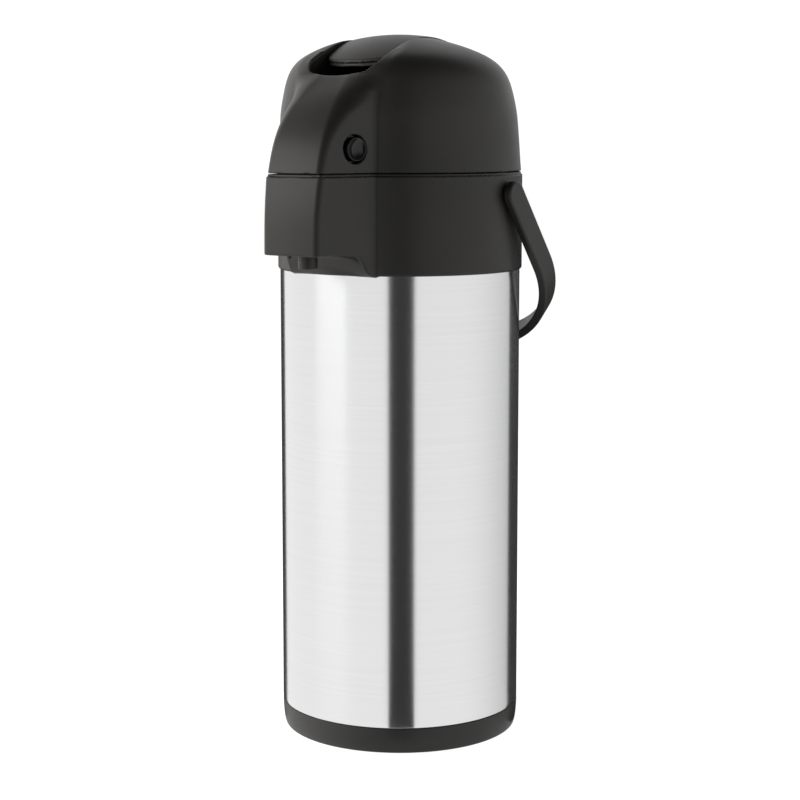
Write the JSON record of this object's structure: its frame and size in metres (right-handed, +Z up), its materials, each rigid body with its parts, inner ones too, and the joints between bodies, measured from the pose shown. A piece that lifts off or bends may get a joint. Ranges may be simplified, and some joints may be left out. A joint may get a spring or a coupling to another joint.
{
  "type": "thermal coffee airpot",
  "caption": "Lever-pump vacuum airpot: brushed steel cylinder, black collar with spout nose, hinged domed lid with pump pad, push-button latches and a swinging bail handle.",
  "frame": {"origin": "centre of the flat underside of the base pad", "axes": "+Z up along the cylinder's axis; -Y is the front, towards the spout nose; +X is across, through the handle's pivots"},
  "size_m": [0.15, 0.1845, 0.3956],
  "materials": {
    "brushed_shell": "brushed around the cylinder",
    "plain_steel": "satin stainless",
    "screw_steel": "plated",
    "satin_black": "satin black, fine moulded grain",
    "gloss_black": "gloss black",
    "pale_plastic": "natural moulded",
    "black_rubber": "matt",
    "grey_silicone": "matt silicone"
  },
  "bodies": {
    "vessel": {"base_pad": "black_rubber", "base_cover": "satin_black", "bottom_pan": "plain_steel", "base_screw_1": "screw_steel", "base_screw_2": "screw_steel", "base_screw_3": "screw_steel", "outer_shell": "brushed_shell", "liner": "plain_steel", "outer_shoulder": "plain_steel", "neck_gasket": "grey_silicone", "siphon_gasket": "grey_silicone", "collar_shell": "satin_black", "nose_under_plate": "satin_black", "collar_deck": "satin_black", "deck_screw_1": "screw_steel", "deck_screw_2": "screw_steel", "deck_screw_3": "screw_steel", "deck_screw_4": "screw_steel", "siphon_head": "pale_plastic", "dip_tube": "plain_steel", "spout_pipe": "satin_black", "spout_grommet": "grey_silicone", "handle_pivot_pin_left": "plain_steel", "handle_pivot_pin_right": "plain_steel", "lid_hinge_pin": "plain_steel"},
    "lid": {"lid_cover": "satin_black", "lid_base": "satin_black", "lid_seal": "grey_silicone", "check_valve": "grey_silicone", "lid_screw_1": "screw_steel", "lid_screw_2": "screw_steel", "lid_screw_3": "screw_steel", "lid_screw_4": "screw_steel", "pad_pivot_pin": "plain_steel", "button_spring_left": "screw_steel", "button_spring_right": "screw_steel", "bellows": "black_rubber", "pump_spring": "screw_steel"},
    "pad": {"pump_pad": "satin_black", "pad_carrier": "satin_black"},
    "plunger": {"pump_plate": "pale_plastic"},
    "button_left": {"release_button_left": "gloss_black"},
    "button_right": {"release_button_right": "gloss_black"},
    "handle": {"handle": "satin_black"}
  },
  "joints": [
    {"name": "handle_swing", "type": "hinge", "parent": "vessel", "child": "handle", "pos_m": [0, 0.0052, 0.307], "axis": [1, 0, 0], "range_deg": [0, 220]},
    {"name": "lid_open", "type": "hinge", "parent": "vessel", "child": "lid", "pos_m": [0, 0.0736, 0.3183], "axis": [-1, 0, 0], "range_deg": [0, 95]},
    {"name": "pump_press", "type": "hinge", "parent": "lid", "child": "pad", "pos_m": [0, 0.04, 0.377], "axis": [1, 0, 0], "range_deg": [0, 15], "stiffness_Nm_per_rad": 1.5, "springref_deg": -11.46},
    {"name": "plunger_slide", "type": "slide", "parent": "lid", "child": "plunger", "axis": [0, 0, -1], "range_m": [0, 0.0108], "deforming": ["bellows", "pump_spring"]},
    {"name": "button_press_left", "type": "slide", "parent": "lid", "child": "button_left", "axis": [0.9591, 0.283, 0], "range_m": [0, 0.003], "stiffness_N_per_m": 400, "springref_m": -0.002},
    {"name": "button_press_right", "type": "slide", "parent": "lid", "child": "button_right", "axis": [-0.9591, 0.283, 0], "range_m": [0, 0.003], "stiffness_N_per_m": 400, "springref_m": -0.002}
  ],
  "couplings": [
    {"joint": "plunger_slide", "follows": "pump_press", "m_per_rad": 0.04}
  ]
}
